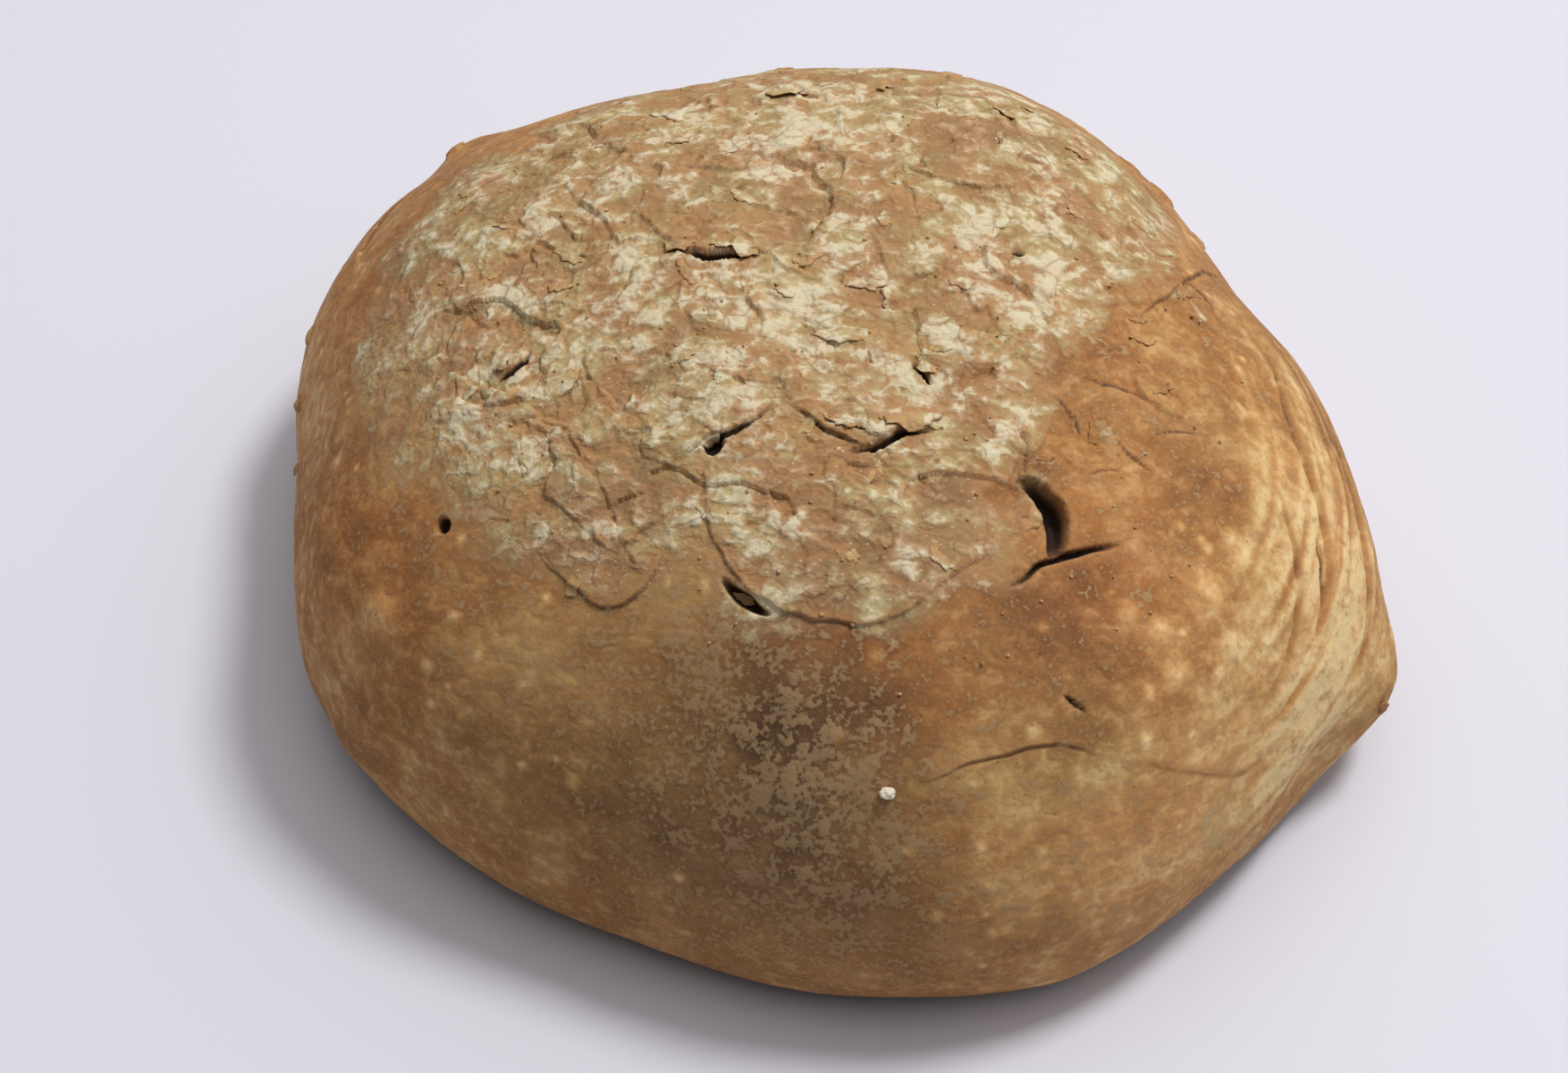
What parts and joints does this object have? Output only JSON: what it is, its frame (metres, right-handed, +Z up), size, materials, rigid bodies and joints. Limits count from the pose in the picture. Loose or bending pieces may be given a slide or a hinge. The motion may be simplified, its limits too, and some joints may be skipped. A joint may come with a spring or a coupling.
{
  "type": "farmhouse loaf",
  "caption": "Round country loaf of bread with a domed, flour-dusted crust that is torn into flaky plates, a rounded heel and a flat underside to stand on.",
  "frame": {"origin": "on the surface the loaf stands on, under the middle of its bounding box", "axes": "+Z up, +X to the loaf's right as the picture shows it, +Y to its back"},
  "size_m": [0.2537, 0.24, 0.1083],
  "materials": {
    "crust": "matte, flour-dusted baked crust"
  },
  "bodies": {
    "root": {"loaf": "crust"}
  },
  "joints": []
}
